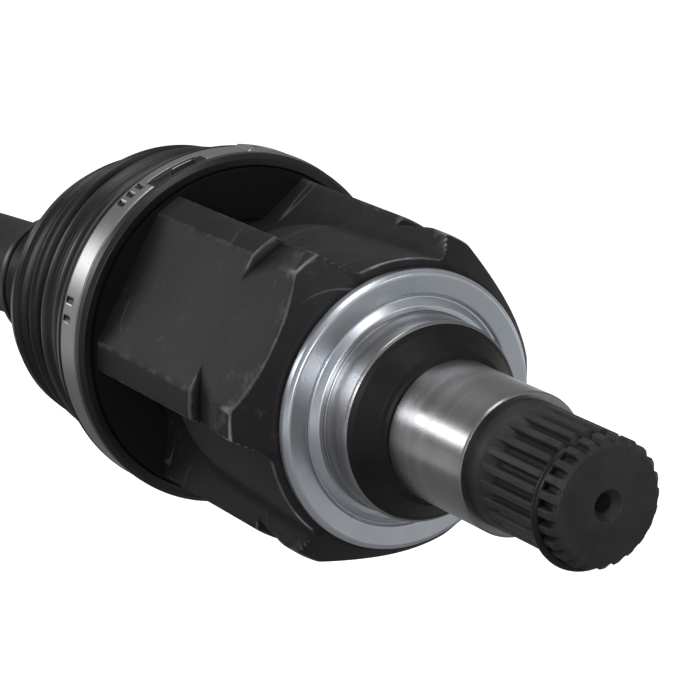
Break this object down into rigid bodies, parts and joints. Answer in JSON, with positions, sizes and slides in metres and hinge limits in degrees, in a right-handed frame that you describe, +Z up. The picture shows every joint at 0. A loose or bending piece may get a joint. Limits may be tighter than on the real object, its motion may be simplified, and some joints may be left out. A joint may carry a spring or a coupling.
{
  "type": "drive shaft",
  "caption": "Half shaft: lobed plunging joint housing with a splined stub, rubber boots, a bar and a ball joint whose bell carries a splined, threaded stem.",
  "frame": {"origin": "on the axis of the gearbox stub, at the splined end of its small ground journal", "axes": "+X along the gearbox stub toward its free end, +Z up, and the bar is swung toward -Y"},
  "size_m": [0.6397, 0.1655, 0.085],
  "materials": {
    "housing_paint": "satin black paint over a forging, ground bright on the journals",
    "zinc_plate": "blue-white zinc plate",
    "spring_wire": "phosphated spring wire",
    "insert_plastic": "moulded",
    "boot_rubber": "moulded, semi-matt",
    "stainless": "bright rolled strip",
    "bearing_steel": "ground",
    "bar_paint": "satin black paint",
    "bell_paint": "satin black paint, bright stem"
  },
  "bodies": {
    "inner_housing": {"inner_housing": "housing_paint", "dust_shield": "zinc_plate", "stub_circlip": "spring_wire", "boot_insert": "insert_plastic", "inner_boot": "boot_rubber", "inner_large_clamp": "stainless"},
    "lower_roller": {"roller_3": "bearing_steel", "needle_set_3": "bearing_steel"},
    "shaft": {"shaft_bar": "bar_paint", "spider": "bearing_steel", "trunnion_washers": "bearing_steel", "trunnion_clips": "bearing_steel", "spider_snap_rings": "bearing_steel", "inner_small_clamp": "stainless", "outer_small_clamp": "stainless", "inner_race": "bearing_steel", "race_snap_ring": "bearing_steel"},
    "roller_1": {"roller_1": "bearing_steel", "needle_set_1": "bearing_steel"},
    "roller_2": {"roller_2": "bearing_steel", "needle_set_2": "bearing_steel"},
    "cage": {"cage": "bearing_steel", "balls": "bearing_steel"},
    "outer_housing": {"outer_housing": "bell_paint", "outer_boot": "boot_rubber", "outer_large_clamp": "stainless"}
  },
  "joints": [
    {"name": "inner_plunge", "type": "slide", "parent": "inner_housing", "child": "lower_roller", "axis": [1, 0, 0], "range_m": [-0.016, 0.009], "deforming": ["inner_boot"]},
    {"name": "inner_swing", "type": "hinge", "parent": "lower_roller", "child": "shaft", "pos_m": [-0.088, 0, 0], "axis": [0, 0, 1], "range_deg": [-28.9, 7.1], "deforming": ["inner_boot"]},
    {"name": "roller_1_spin", "type": "hinge", "parent": "shaft", "child": "roller_1", "pos_m": [-0.088, 0, 0], "axis": [-0.1638, 0.8504, 0.5], "continuous": true},
    {"name": "roller_2_spin", "type": "hinge", "parent": "shaft", "child": "roller_2", "pos_m": [-0.088, 0, 0], "axis": [0.1638, -0.8504, 0.5], "continuous": true},
    {"name": "outer_swing", "type": "hinge", "parent": "shaft", "child": "outer_housing", "pos_m": [-0.51024, -0.08131, 0], "axis": [0, 0, 1], "range_deg": [-40, 40], "deforming": ["outer_boot"]},
    {"name": "cage_swing", "type": "hinge", "parent": "shaft", "child": "cage", "pos_m": [-0.51024, -0.08131, 0], "axis": [0, 0, 1], "range_deg": [-20.5, 20.5]}
  ],
  "couplings": [
    {"joint": "cage_swing", "follows": "outer_swing", "ratio": 0.5}
  ]
}
